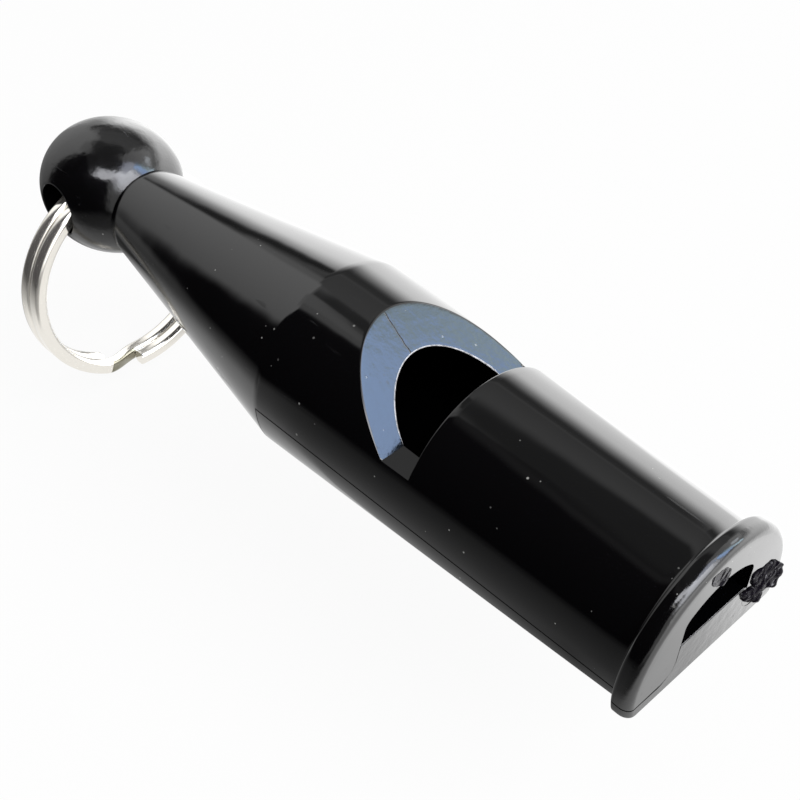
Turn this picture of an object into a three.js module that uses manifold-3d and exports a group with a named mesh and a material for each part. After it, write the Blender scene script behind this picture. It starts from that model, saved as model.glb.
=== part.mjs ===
// Pealess dog whistle: a moulded body with a sound window, a fipple insert that closes its
// flat underside, and a two-turn split ring through the ball at its tail.
// Millimetres, +Z up. The flat sole lies on z = 0, with the mouth at +X and the tail at -X.

import * as THREE from 'three';
import { mergeVertices } from 'three/addons/utils/BufferGeometryUtils.js';
import Module from 'manifold-3d';

const wasm = await Module();
wasm.setup();

// Outer form. Stations run along the barrel's axis from the shoulder, where the cone meets the barrel.
const SHOULDER_RADIUS = 9.0;
const BARREL_LENGTH = 38.6;
const MOUTH_RADIUS = 7.85;
const CONE_LENGTH = 26.7;
const CONE_TIP_RADIUS = 4.35;
const BEAD_STAND_OFF = 0.95;
const BEAD_WIDTH = 1.7;
const BALL_RADIUS = 6.45;
const BALL_HALF_LENGTH = 7.15;
const NECK_RADIUS = 3.7;

// Flat sole, which comes nearer to the barrel's axis towards the mouth
const SOLE_ANGLE = THREE.MathUtils.degToRad(2.83);
const SOLE_DEPTH_AT_MOUTH = 2.25;
const BALL_ABOVE_SOLE = 0.1;

// Sound window: a ramp down to the bore, a short level step on each side and an upright front wall
const WINDOW_START = 5.5;
const RAMP_ANGLE = THREE.MathUtils.degToRad(34.8);
const WINDOW_STEP_HEIGHT = 3.36;
const WINDOW_END = 16.4;

// Sound chamber
const BORE_RADIUS = 6.5;
const CHAMBER_BEHIND_SHOULDER = 3.0;
const CHAMBER_FLOOR_THICKNESS = 1.3;

// Fipple insert. The seam with the body lies below the barrel's axis, lower at the mouth.
const SEAM_DEPTH_AT_MOUTH = 1.18;
const SEAM_DEPTH_AT_SHOULDER = 0.3;
const SEAM_GAP = 0.3;
const WINDWAY_HALF_WIDTH = 3.87;
const WINDWAY_FLOOR_HEIGHT = 1.82;
const WINDWAY_ROOF_RADIUS = 5.9;
const BLOCK_FILLET = 1.5;

// Split ring, two turns of flat wire
const RING_RADIUS = 11.1;
const WIRE_THICKNESS = 1.1;
const WIRE_WIDTH = 1.05;
const WIRE_CORNER_RADIUS = 0.32;
const TURN_GAP = 0.45;
const CROSSOVER_AT = THREE.MathUtils.degToRad(195);
const CROSSOVER_HALF_ANGLE = THREE.MathUtils.degToRad(8);
const END_SETBACK = THREE.MathUtils.degToRad(2.5);
const HOLE_CLEARANCE = 0.4;

// Facets
const ROUND_SEGMENTS = 72;
const BALL_RINGS = 14;
const BEAD_RINGS = 6;
const HOLE_SEGMENTS = 40;
const ARC_SEGMENTS = 12;
const RING_STEPS = 150;
const WIRE_CORNER_POINTS = 1;

// Room that a cutting shape reaches past what it cuts
const OVERCUT = 4;

// Places worked out from the sizes above
const beadStart = BARREL_LENGTH - BEAD_WIDTH;
const coneTip = -CONE_LENGTH;
const neckSetback = BALL_HALF_LENGTH * Math.sqrt(1 - (NECK_RADIUS / BALL_RADIUS) ** 2);
const ballStation = coneTip - neckSetback;
const reach = SHOULDER_RADIUS + BALL_RADIUS + OVERCUT;

const soleHeight = (x) => -SOLE_DEPTH_AT_MOUTH - (BARREL_LENGTH - x) * Math.tan(SOLE_ANGLE);
const seamSlope = (SEAM_DEPTH_AT_SHOULDER - SEAM_DEPTH_AT_MOUTH) / BARREL_LENGTH;
const seamHeight = (x) => -SEAM_DEPTH_AT_SHOULDER + x * seamSlope;

const ballHeight = soleHeight(ballStation) + BALL_ABOVE_SOLE + BALL_RADIUS;

// Solids from three.js geometry, for joining and cutting
function toSolid(geometry) {
  const bare = geometry.clone();
  bare.deleteAttribute('normal');
  bare.deleteAttribute('uv');
  const welded = mergeVertices(bare, 1e-5);
  const index = welded.index.array;
  const triangles = [];
  for (let i = 0; i < index.length; i += 3) {
    const [a, b, c] = [index[i], index[i + 1], index[i + 2]];
    if (a !== b && b !== c && c !== a) triangles.push(a, b, c);
  }
  return new wasm.Manifold(new wasm.Mesh({
    numProp: 3,
    vertProperties: new Float32Array(welded.attributes.position.array),
    triVerts: new Uint32Array(triangles),
  }));
}

function toGeometry(solid) {
  const mesh = solid.getMesh();
  const geometry = new THREE.BufferGeometry();
  geometry.setAttribute('position', new THREE.BufferAttribute(mesh.vertProperties, 3));
  geometry.setIndex(new THREE.BufferAttribute(mesh.triVerts, 1));
  geometry.computeVertexNormals();
  return geometry;
}

// A prism across the whistle, from an outline of stations and heights
function sidePrism(outline) {
  const shape = new THREE.Shape(outline.map(([x, z]) => new THREE.Vector2(x, z)));
  const geometry = new THREE.ExtrudeGeometry(shape, { depth: 2 * reach, bevelEnabled: false });
  geometry.translate(0, 0, -reach);
  geometry.rotateX(Math.PI / 2);
  return toSolid(geometry);
}

// A prism that runs back from the mouth along the seam, from a section seen from the mouth
function windwayPrism(section) {
  const front = BARREL_LENGTH + OVERCUT;
  const depth = front - WINDOW_END;
  const settings = { depth, bevelEnabled: false, curveSegments: ARC_SEGMENTS };
  const geometry = new THREE.ExtrudeGeometry(section, settings);
  geometry.applyMatrix4(new THREE.Matrix4().makeBasis(
    new THREE.Vector3(0, 1, 0),
    new THREE.Vector3(0, 0, 1),
    new THREE.Vector3(1, 0, 0),
  ));
  geometry.translate(WINDOW_END - BARREL_LENGTH, 0, 0);
  geometry.rotateY(-Math.atan(seamSlope));
  geometry.translate(BARREL_LENGTH, 0, 0);
  return toSolid(geometry);
}

// Everything below a sloping line of heights, between two stations
function below(heightAt, from, to) {
  return sidePrism([[from, -reach], [to, -reach], [to, heightAt(to)], [from, heightAt(from)]]);
}

// Outer form: ball, neck crevice, cone, barrel and half-round lip bead, turned about the axis
function outerProfile() {
  const points = [];
  const neckAngle = Math.acos(neckSetback / BALL_HALF_LENGTH);
  for (let i = 0; i <= BALL_RINGS; i += 1) {
    const angle = Math.PI + (neckAngle - Math.PI) * (i / BALL_RINGS);
    const station = ballStation + BALL_HALF_LENGTH * Math.cos(angle);
    points.push(new THREE.Vector2(i === 0 ? 0 : BALL_RADIUS * Math.sin(angle), station));
  }
  points.push(new THREE.Vector2(CONE_TIP_RADIUS, coneTip));
  points.push(new THREE.Vector2(SHOULDER_RADIUS, 0));
  const beadCentre = beadStart + BEAD_WIDTH / 2;
  points.push(new THREE.Vector2(MOUTH_RADIUS, beadStart));
  for (let i = 1; i <= BEAD_RINGS; i += 1) {
    const angle = Math.PI * (1 - i / BEAD_RINGS);
    const radius = MOUTH_RADIUS + BEAD_STAND_OFF * Math.sin(angle);
    points.push(new THREE.Vector2(radius, beadCentre + (BEAD_WIDTH / 2) * Math.cos(angle)));
  }
  points.push(new THREE.Vector2(0, BARREL_LENGTH));
  return points;
}

// The tail's axis climbs from the shoulder, so that the ball clears the sole.
function outerForm() {
  const geometry = new THREE.LatheGeometry(outerProfile(), ROUND_SEGMENTS);
  geometry.rotateZ(-Math.PI / 2);
  const place = geometry.attributes.position;
  for (let i = 0; i < place.count; i += 1) {
    const share = Math.max(0, place.getX(i) / ballStation);
    place.setZ(i, place.getZ(i) + ballHeight * share);
  }
  const sole = below(soleHeight, ballStation - reach, BARREL_LENGTH + OVERCUT);
  return toSolid(geometry).subtract(sole);
}

// The bore above the chamber floor, from behind the shoulder to the window's front wall
function chamber() {
  const length = WINDOW_END + CHAMBER_BEHIND_SHOULDER;
  const bore = new THREE.CylinderGeometry(BORE_RADIUS, BORE_RADIUS, length, ROUND_SEGMENTS);
  bore.rotateZ(-Math.PI / 2);
  bore.translate(WINDOW_END - length / 2, 0, 0);
  const floor = below((x) => soleHeight(x) + CHAMBER_FLOOR_THICKNESS, -reach, BARREL_LENGTH);
  return toSolid(bore).subtract(floor);
}

function windowNotch() {
  const rampFoot = WINDOW_START + (SHOULDER_RADIUS - WINDOW_STEP_HEIGHT) / Math.tan(RAMP_ANGLE);
  const above = SHOULDER_RADIUS + OVERCUT;
  return sidePrism([
    [WINDOW_START, SHOULDER_RADIUS],
    [rampFoot, WINDOW_STEP_HEIGHT],
    [WINDOW_END, WINDOW_STEP_HEIGHT],
    [WINDOW_END, above],
    [WINDOW_START - OVERCUT / Math.tan(RAMP_ANGLE), above],
  ]);
}

// Section of the insert's block on its sole, or of the channel that it fills, seen from the mouth.
// The block stands in from the channel by the seam gap, round the same fillet centre.
function windwaySection(standIn, closeTop) {
  const filletX = WINDWAY_HALF_WIDTH + BLOCK_FILLET;
  const filletY = -SEAM_DEPTH_AT_MOUTH + SEAM_GAP + BLOCK_FILLET;
  const fillet = BLOCK_FILLET + standIn;
  const section = new THREE.Shape();
  section.moveTo(-reach, -reach);
  section.lineTo(reach, -reach);
  section.lineTo(reach, filletY - fillet);
  section.lineTo(filletX, filletY - fillet);
  section.absarc(filletX, filletY, fillet, -Math.PI / 2, Math.PI, true);
  closeTop(section, filletX - fillet);
  section.absarc(-filletX, filletY, fillet, 0, -Math.PI / 2, true);
  section.lineTo(-reach, filletY - fillet);
  section.closePath();
  return section;
}

function blockTop(section, half) {
  section.lineTo(half, WINDWAY_FLOOR_HEIGHT);
  section.lineTo(-half, WINDWAY_FLOOR_HEIGHT);
}

function channelRoof(section, half) {
  const side = Math.acos(half / WINDWAY_ROOF_RADIUS);
  section.absarc(0, 0, WINDWAY_ROOF_RADIUS, side, Math.PI - side, false);
}

// The hole through the ball takes both turns of the ring, which curve down to its two mouths.
const ringHalfWidth = WIRE_WIDTH + TURN_GAP / 2;
const ringOuter = RING_RADIUS + WIRE_THICKNESS / 2;
const ringInner = RING_RADIUS - WIRE_THICKNESS / 2;
const ringSag = ringOuter - Math.sqrt(ringInner ** 2 - BALL_RADIUS ** 2);
const holeRadius = Math.hypot(ringSag / 2, ringHalfWidth) + HOLE_CLEARANCE;
const ringDrop = ringOuter - ringSag / 2;

function ringHole() {
  const length = 2 * (BALL_RADIUS + OVERCUT);
  const hole = new THREE.CylinderGeometry(holeRadius, holeRadius, length, HOLE_SEGMENTS);
  hole.translate(ballStation, 0, ballHeight);
  return toSolid(hole);
}

function makeBody(form) {
  const seamRoof = (x) => seamHeight(x) + SEAM_GAP;
  return toGeometry(form
    .subtract(below(seamRoof, 0, BARREL_LENGTH + OVERCUT))
    .subtract(windwayPrism(windwaySection(0, channelRoof)))
    .subtract(chamber())
    .subtract(windowNotch())
    .subtract(ringHole()));
}

function makeInsert(form) {
  const sole = below(seamHeight, SEAM_GAP, BARREL_LENGTH + OVERCUT);
  const block = windwayPrism(windwaySection(SEAM_GAP, blockTop));
  return toGeometry(form.intersect(sole.add(block)).subtract(chamber()));
}

// The wire makes a turn in front, steps back by one pitch at the crossover, and makes a turn behind.
// Angles run round the ring from its top, towards +Y; the mouth side is in front.
class SplitRingPath extends THREE.Curve {
  getPoint(t, target = new THREE.Vector3()) {
    const endAngle = CROSSOVER_HALF_ANGLE + END_SETBACK;
    const turned = endAngle + t * (4 * Math.PI - 2 * endAngle);
    const past = (turned - 2 * Math.PI) / CROSSOVER_HALF_ANGLE;
    const share = THREE.MathUtils.smoothstep(past, -1, 1);
    const angle = CROSSOVER_AT - turned;
    const pitch = WIRE_WIDTH + TURN_GAP;
    return target.set(
      pitch * (0.5 - share),
      RING_RADIUS * Math.sin(angle),
      RING_RADIUS * Math.cos(angle),
    );
  }
}

// Wire section: flat across the turns, with rounded corners
function wireSection() {
  const corner = WIRE_CORNER_RADIUS;
  const x = WIRE_WIDTH / 2 - corner;
  const y = WIRE_THICKNESS / 2 - corner;
  const quarter = Math.PI / 2;
  const section = new THREE.Shape();
  section.absarc(x, y, corner, 0, quarter, false);
  section.absarc(-x, y, corner, quarter, 2 * quarter, false);
  section.absarc(-x, -y, corner, 2 * quarter, 3 * quarter, false);
  section.absarc(x, -y, corner, 3 * quarter, 4 * quarter, false);
  return section;
}

// Least distance between points of the wire's surface that lie over half a turn apart along it
function leastTurnGap(path) {
  const outline = wireSection().getPoints(WIRE_CORNER_POINTS);
  const rows = [];
  for (let i = 0; i <= RING_STEPS; i += 1) {
    const centre = path.getPoint(i / RING_STEPS);
    const outward = new THREE.Vector3(0, centre.y, centre.z).normalize();
    rows.push(outline.map((point) => centre.clone().addScaledVector(outward, point.y)
      .add(new THREE.Vector3(point.x, 0, 0))));
  }
  const halfTurn = Math.round(RING_STEPS / 4);
  let least = Infinity;
  for (let i = 0; i + halfTurn <= RING_STEPS; i += 1) {
    const others = rows.slice(i + halfTurn).flat();
    for (const point of rows[i]) {
      for (const other of others) least = Math.min(least, point.distanceTo(other));
    }
  }
  return least;
}

function makeRing() {
  const path = new SplitRingPath();
  console.log(`split ring: least gap between its turns ${leastTurnGap(path).toFixed(2)} mm`);
  return new THREE.ExtrudeGeometry(wireSection(), {
    steps: RING_STEPS,
    curveSegments: WIRE_CORNER_POINTS,
    extrudePath: path,
    bevelEnabled: false,
  });
}

function namedMesh(name, geometry, look) {
  const mesh = new THREE.Mesh(geometry, new THREE.MeshStandardMaterial(look));
  mesh.name = name;
  return mesh;
}

const blackPlastic = { color: 0x0c0c0e, roughness: 0.18, metalness: 0 };
const nickel = { color: 0xc9c5bd, roughness: 0.16, metalness: 1 };

// The body and the insert lie along the barrel's axis, tilted until the sole is level.
const form = outerForm();
const barrel = new THREE.Group();
barrel.add(namedMesh('whistle_body', makeBody(form), blackPlastic));
barrel.add(namedMesh('fipple_insert', makeInsert(form), blackPlastic));
barrel.rotation.y = SOLE_ANGLE;

// The origin is on the sole, half way along the barrel.
const originStation = BARREL_LENGTH / 2;
const origin = new THREE.Vector3(originStation, 0, soleHeight(originStation));
barrel.position.copy(origin.applyEuler(barrel.rotation).negate());
barrel.updateMatrixWorld();

// The ring hangs straight down from the hole through the ball.
const ringMesh = namedMesh('split_ring', makeRing(), nickel);
const hole = barrel.localToWorld(new THREE.Vector3(ballStation, 0, ballHeight));
ringMesh.position.set(hole.x, hole.y, hole.z - ringDrop);

const whistle = new THREE.Group();
whistle.add(barrel, ringMesh);

export default whistle;
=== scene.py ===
"""Pealess dog whistle in black gloss plastic with a nickel split ring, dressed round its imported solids.

Shapes are worked out in millimetres along the barrel's axis: x from the shoulder towards the mouth,
y across and z up. to_frame() then lays them on the level sole, in metres.
"""

import bmesh
import bpy
import numpy as np
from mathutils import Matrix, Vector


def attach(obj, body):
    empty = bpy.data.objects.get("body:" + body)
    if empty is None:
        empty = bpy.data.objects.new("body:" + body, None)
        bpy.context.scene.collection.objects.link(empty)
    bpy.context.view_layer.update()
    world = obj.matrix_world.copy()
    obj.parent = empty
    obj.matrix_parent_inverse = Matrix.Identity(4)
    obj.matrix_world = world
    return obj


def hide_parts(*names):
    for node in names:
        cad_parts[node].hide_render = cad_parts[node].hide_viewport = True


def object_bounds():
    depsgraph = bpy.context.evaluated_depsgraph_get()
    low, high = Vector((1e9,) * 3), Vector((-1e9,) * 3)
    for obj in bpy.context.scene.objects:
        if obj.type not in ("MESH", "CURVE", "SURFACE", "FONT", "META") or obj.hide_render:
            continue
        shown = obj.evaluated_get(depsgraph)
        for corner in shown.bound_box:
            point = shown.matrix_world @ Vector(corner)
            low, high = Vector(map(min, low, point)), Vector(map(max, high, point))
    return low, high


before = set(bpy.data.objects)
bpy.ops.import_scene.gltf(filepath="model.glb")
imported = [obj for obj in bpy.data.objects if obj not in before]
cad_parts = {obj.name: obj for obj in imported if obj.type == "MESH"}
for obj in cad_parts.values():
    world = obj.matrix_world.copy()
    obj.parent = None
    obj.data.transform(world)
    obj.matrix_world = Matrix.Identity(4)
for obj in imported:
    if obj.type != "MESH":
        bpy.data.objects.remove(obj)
cad_box = [list(corner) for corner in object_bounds()]

MM = 0.001
TINY = 1e-9

# Outer form
SHOULDER_RADIUS = 9.0
SHOULDER_BLEND = 0.35
BARREL_LENGTH = 38.58
BARREL_MIDDLE = 19.3
MOUTH_RADIUS = 7.85
CONE_LENGTH = 26.7
CONE_TIP_RADIUS = 4.35
CONE_TIP_ROUND = 0.14
BALL_RADIUS = 6.45
BALL_HALF_LENGTH = 7.14
BALL_HALF_WIDTH = 6.78
BALL_HALF_HEIGHT = 6.2
BALL_NECK_FADE = 3.0
BALL_ABOVE_SOLE = 0.1
NECK_RADIUS = 3.7
SOLE_ANGLE = np.radians(2.83)
SOLE_DEPTH_AT_MOUTH = 2.25

# The sole's corner: its size, the most it takes of a small radius, and the lowest angle at which it lies
SOLE_CORNER = 0.16
SOLE_CORNER_SHARE = 0.1
SOLE_CORNER_LOWEST = np.radians(-60)

# Lip bead; each corner is a quarter ellipse, so long along the barrel and so high
BEAD_STAND_OFF = 0.95
BEAD_WIDTH = 1.7
BEAD_ROOT = 0.3
BEAD_REAR = (0.4, 0.5)
BEAD_FRONT = (0.85, 0.66)

# Sound window and chamber
WINDOW_START = 5.5
RAMP_SLOPE = np.tan(np.radians(34.8))
STEP_HEIGHT = 3.36
WINDOW_END = 16.4
WINDOW_EDGE = 0.13
LABIUM_EDGE = 0.18
EDGE_FADE = np.radians(9)
BORE_RADIUS = 6.5
CHAMBER_BACK = -3.0
CHAMBER_FLOOR = 1.3

# Windway, block and seam
SEAM_DEPTH_AT_MOUTH = 1.18
SEAM_DEPTH_AT_SHOULDER = 0.3
SEAM_HALF_GAP = 0.07
CHANNEL_HALF_GAP = 0.11
INSERT_START = 0.09
WINDWAY_HALF_WIDTH = 3.97
WINDWAY_SHIFT = -0.1
WINDWAY_CORNER = 0.6
WINDWAY_FLOOR = 1.82
WINDWAY_ROOF_RADIUS = 5.9
BLOCK_FILLET = 1.5
BLOCK_SIDE_GAP = 0.32
SLOT_EDGE = 0.12

# Split ring, with the shares of its section in the rows that close a cut end
RING_RADIUS = 10.75
WIRE_THICKNESS = 1.4
WIRE_WIDTH = 1.4
WIRE_CORNER = 0.45
TURN_GAP = 0.1
CROSSOVER_AT = np.radians(195)
CROSSOVER_HALF = np.radians(13)
END_SETBACK = np.radians(-2.5)
END_SHRINK = (0.0, 0.86, 0.96)
# Painted shade in the crossover: how far ahead of it it starts, and the part of the wire's section that it
# covers
SHADE_BEFORE_CROSSOVER = np.radians(10)
SHADED_SIDE = 0.3
HOLE_RADIUS = 2.49
HOLE_EDGE = 0.16
RING_DROP = 10.0

# Torn gate, its tail and a burr on the end face: middle across and up, half length and half width
GATE_SCAR = ((6.6, 0.8), (2.7, 1.3))
GATE_TAIL = ((4.9, 0.05), (1.9, 0.75))
SLOT_BURR = ((-0.9, 6.75), (1.3, 0.85))
TORN_TURN = np.radians(-45)
TORN_ROOT = 0.3
TORN_MARGIN = 0.01

# Torn relief: ragged waves round the rim, folds in two pitches, and how the rim rises to a least height
TORN_SEED = 11
RIM_WAVES = np.array([2, 3, 5, 8, 13])
RIM_RAGGED = 0.22
FOLD_PITCHES = (2.6, 1.05)
FOLD_COUNT = 4
FOLD_LOWEST, FOLD_RANGE = 0.38, 0.5
RIM_RISE = 0.3
TORN_LEAST = 0.12

# Plain share of each finish that the faces hold, one of which is both the plastic's wear and the ring's
# painted shade, and how satin each tooled surface is
PLAIN_FINISH = {"satin": 0.0, "worn": 0.0, "dusty": 1.0, "knit": 0.0}
RAMP_SATIN, BEAD_SATIN, BLOCK_SATIN, BALL_SATIN = 0.2, 0.22, 0.35, 0.3

# Knit line down the ramp, where the flowing plastic met: place across, half width and how far it wanders
KNIT_LINE_Y = -0.45
KNIT_LINE_HALF = 0.06
KNIT_LINE_WANDER = 0.3

# Steps along each stretch of the grids
SIDE, WINDOW = 14, 128
UPPER = 2 * SIDE + WINDOW
LOW_SIDE, LOW_CORNER, LOW_FLAT = 12, 4, 44
LOWER = 2 * (LOW_SIDE + LOW_CORNER) + LOW_FLAT
TROUGH_SIDE = LOW_SIDE + LOW_CORNER
FILLET, SLOT_RISE, SLOT_CORNER, BLOCK_RISE = 10, 8, 6, 4
SLOT_CROWN = UPPER - 2 * (SIDE + FILLET + SLOT_RISE + SLOT_CORNER)
BLOCK_TOP = LOW_FLAT - 2 * (FILLET + BLOCK_RISE)
SLOT_EDGE_GROWTH = 5
BALL_ROWS, NECK_ROWS, CONE_ROWS = 60, 3, 44
SHOULDER_ROWS, REAR_ROWS, STEP_ROWS = 4, 40, 10
BORE_ROWS = SHOULDER_ROWS + REAR_ROWS
FRONT_ROWS, ROOT_ROWS = 30, 5
BEAD_REAR_ROWS, BEAD_BAND_ROWS, BEAD_FRONT_ROWS = 7, 3, 12
RAMP_ROWS, EDGE_ROWS = 12, 4
BACK_ROWS, END_WALL_ROWS = 4, 2
FACE_ROWS, TROUGH_ROWS = 6, 30
HOLE_ROWS, TUBE_ROWS = 10, 24
TORN_COLUMNS, TORN_ROWS = 144, 96
RING_STEPS, WIRE_POINTS = 720, 40

# Patch of the ball that the ring's hole is cut from: columns below the seam and above the side, and rows
PATCH_BELOW, PATCH_ABOVE = 11, 12
PATCH_START, PATCH_END = 23, 51

# Distance within which points merge, and length below which edges are dropped, in metres
MERGE_DISTANCE, SLIVER = 1e-6, 1e-7

# Edges with a wider angle than this are sharp, in degrees
MOULDED_SHARP, TORN_SHARP, WIRE_SHARP = 28, 35, 40

# Places that follow from the sizes
BEAD_START = BARREL_LENGTH - BEAD_WIDTH
BARREL_TAPER = (SHOULDER_RADIUS - MOUTH_RADIUS) / BEAD_START
CONE_TAPER = (SHOULDER_RADIUS - CONE_TIP_RADIUS) / CONE_LENGTH
NECK_SETBACK = BALL_HALF_LENGTH * np.sqrt(1 - (NECK_RADIUS / BALL_RADIUS) ** 2)
BALL_STATION = -CONE_LENGTH - NECK_SETBACK
SEAM_FALL = (SEAM_DEPTH_AT_MOUTH - SEAM_DEPTH_AT_SHOULDER) / BARREL_LENGTH
BODY_SEAM = SEAM_HALF_GAP
INSERT_SEAM = -SEAM_HALF_GAP


def ease(share):
    """A smooth rise from 0 to 1 by a share held between them: 3 times its square less twice its cube."""
    share = np.clip(share, 0, 1)
    return share ** 2 * (3 - 2 * share)


def sole_height(x):
    """Height of the flat sole: a straight line that comes nearer to the axis towards the mouth."""
    return -SOLE_DEPTH_AT_MOUTH - (BARREL_LENGTH - x) * np.tan(SOLE_ANGLE)


def seam_height(x):
    """Height of the seam between body and insert: a straight line that falls towards the mouth."""
    return -SEAM_DEPTH_AT_SHOULDER - SEAM_FALL * x


BALL_HEIGHT = sole_height(BALL_STATION) + BALL_ABOVE_SOLE + BALL_RADIUS


def lift(x):
    """Rise of the tail's axis: none along the barrel, then in proportion to the distance behind it."""
    return BALL_HEIGHT * np.maximum(0, np.asarray(x) / BALL_STATION)


def barrel_radius(x):
    """Radius of cone and barrel: two straight tapers, joined by a parabola across the shoulder."""
    x = np.asarray(x, float)
    cone = SHOULDER_RADIUS + CONE_TAPER * x
    barrel = SHOULDER_RADIUS - BARREL_TAPER * x
    t = np.clip((x / SHOULDER_BLEND + 1) / 2, 0, 1)
    start = SHOULDER_RADIUS - CONE_TAPER * SHOULDER_BLEND
    end = SHOULDER_RADIUS - BARREL_TAPER * SHOULDER_BLEND
    blend = (1 - t) ** 2 * start + 2 * t * (1 - t) * SHOULDER_RADIUS + t ** 2 * end
    return np.where(x < -SHOULDER_BLEND, cone, np.where(x > SHOULDER_BLEND, barrel, blend))


def ball_radius(x):
    """Radius of the ball before it is made oval: an ellipse along the axis."""
    share = np.clip((np.asarray(x) - BALL_STATION) / BALL_HALF_LENGTH, -1, 1)
    return BALL_RADIUS * np.sqrt(1 - share ** 2)


def ball_oval(x):
    """How much wider and lower than round the ball is at a station: nothing at its neck, full behind it."""
    share = ease((-CONE_LENGTH - np.asarray(x)) / BALL_NECK_FADE)
    return 1 + share * (BALL_HALF_WIDTH / BALL_RADIUS - 1), 1 + share * (BALL_HALF_HEIGHT / BALL_RADIUS - 1)


def to_frame(points):
    """Barrel millimetres to the frame's metres: a shift to mid-sole, then a turn about Y to level it."""
    x = points[..., 0] - BARREL_MIDDLE
    z = points[..., 2] - sole_height(BARREL_MIDDLE)
    cos, sin = np.cos(SOLE_ANGLE), np.sin(SOLE_ANGLE)
    return np.stack([x * cos + z * sin, points[..., 1], z * cos - x * sin], -1) * MM


def at(x, y, z):
    """One array of points from coordinates of any matching shapes."""
    return np.stack(np.broadcast_arrays(x, y, z), -1).astype(float)


def rounds(x, radius, angle):
    """Points at an angle about the axis, counted up from +y."""
    return at(x, radius * np.cos(angle), lift(x) + radius * np.sin(angle))


def span(first, last, steps):
    """Rows of points in equal steps from one line of points to another."""
    t = np.linspace(0, 1, steps + 1).reshape(-1, *[1] * np.ndim(first))
    return (1 - t) * first + t * last


def curve(first, corner, last, steps):
    """Rows of points on a parabola that leaves one line and meets another, each towards the corner."""
    t = np.linspace(0, 1, steps + 1).reshape(-1, *[1] * np.ndim(first))
    return (1 - t) ** 2 * first + 2 * t * (1 - t) * corner + t ** 2 * last


def chain(*blocks):
    """Blocks of rows end to end, each without the row that it shares with the one before."""
    return np.concatenate([blocks[0], *[block[1:] for block in blocks[1:]]])


def mirror(points):
    """The same points on the other side of the whistle."""
    return points * np.array([1, -1, 1])


def grid_quads(rows, columns):
    """Corners of the faces between a grid's points, as places in its own list of points."""
    index = np.arange(rows * columns).reshape(rows, columns)
    return np.stack([index[:-1, :-1], index[:-1, 1:], index[1:, 1:], index[1:, :-1]], -1)


def put(name, data):
    """A new object in the scene for that data."""
    made = bpy.data.objects.new(name, data)
    bpy.context.scene.collection.objects.link(made)
    return made


class Shell:
    """Grids of points that share their borders, gathered into one closed mesh."""

    def __init__(self):
        self.points, self.faces, self.count = [], [], 0
        self.finishes = {name: [] for name in PLAIN_FINISH}

    def grid(self, points, keep=None, **finish):
        """Takes in a grid, all its faces or those to keep, and each face's share of a finish."""
        quads = grid_quads(*points.shape[:2]) + self.count
        keep = np.ones(quads.shape[:2], bool) if keep is None else keep
        self.points.append(points.reshape(-1, 3))
        self.faces.append(quads[keep])
        for name, plain in PLAIN_FINISH.items():
            self.finishes[name].append(np.broadcast_to(finish.get(name, plain), keep.shape)[keep])
        self.count += len(self.points[-1])

    def both_sides(self, points, **finish):
        """Takes in a grid and its mirror image."""
        self.grid(points, **finish)
        self.grid(mirror(points), **finish)

    def build(self, name, placed=to_frame, sharp_angle=MOULDED_SHARP):
        """The merged mesh, with faces outwards and smooth shading up to the sharp angle."""
        places = placed(np.concatenate(self.points))
        mesh = bpy.data.meshes.new(name)
        mesh.from_pydata(places.tolist(), [], np.concatenate(self.faces).tolist())
        for finish, shares in self.finishes.items():
            stored = mesh.attributes.new(finish, "FLOAT", "FACE")
            stored.data.foreach_set("value", np.concatenate(shares).astype(np.float32))
        solid = bmesh.new()
        solid.from_mesh(mesh)
        bmesh.ops.remove_doubles(solid, verts=solid.verts, dist=MERGE_DISTANCE)
        bmesh.ops.dissolve_degenerate(solid, edges=solid.edges, dist=SLIVER)
        bmesh.ops.recalc_face_normals(solid, faces=solid.faces)
        solid.to_mesh(mesh)
        solid.free()
        mesh.polygons.foreach_set("use_smooth", np.ones(len(mesh.polygons), bool))
        mesh.set_sharp_from_angle(angle=np.radians(sharp_angle))
        return put(name, mesh)


# Angles and stations that the body's grids share
RAMP_TOP = SHOULDER_RADIUS + RAMP_SLOPE * WINDOW_START
STEP_START = (RAMP_TOP - STEP_HEIGHT) / RAMP_SLOPE
STEP_ANGLE = np.arcsin(STEP_HEIGHT / barrel_radius(STEP_START))
WALL_ANGLE = np.arcsin(STEP_HEIGHT / barrel_radius(WINDOW_END))
INNER_ANGLE = np.arcsin(STEP_HEIGHT / BORE_RADIUS)
OVER_WINDOW = np.linspace(STEP_ANGLE, np.pi - STEP_ANGLE, WINDOW + 1)
OVER_BORE = np.linspace(INNER_ANGLE, np.pi - INNER_ANGLE, WINDOW + 1)
CHAMBER_STATIONS = np.linspace(CHAMBER_BACK, 0, BACK_ROWS + 1)
SHOULDER_STATIONS = np.linspace(0, SHOULDER_BLEND, SHOULDER_ROWS + 1)
STEP_STATIONS = np.linspace(STEP_START, WINDOW_END, STEP_ROWS + 1)


def seam_angle(x, radius, side):
    """Angle at which the seam's height meets a circle of that radius; side is +gap or -gap."""
    return np.arcsin((seam_height(x) + side) / radius)


def fade(angles, first):
    """Share of an edge's rounding: full over the middle, and nothing at the two ends of the edge."""
    return np.clip((np.pi / 2 - first - np.abs(angles - np.pi / 2)) / EDGE_FADE, 0, 1)


def both_ends(right, middle):
    """Angles of a whole row: up the right side, over the middle and down the left side."""
    return np.concatenate([right, middle[1:-1], np.pi - right[::-1]])


def bore_arc(x):
    """The bore's arc over the window, at one station or at one for each of its points."""
    return at(x, BORE_RADIUS * np.cos(OVER_BORE), BORE_RADIUS * np.sin(OVER_BORE))


def whole_arc(side, x):
    """The bore's arc from seam to seam at a station: up one side, over the window and down the other."""
    return np.concatenate([side, bore_arc(x)[1:-1], mirror(side)[::-1]])


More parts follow.
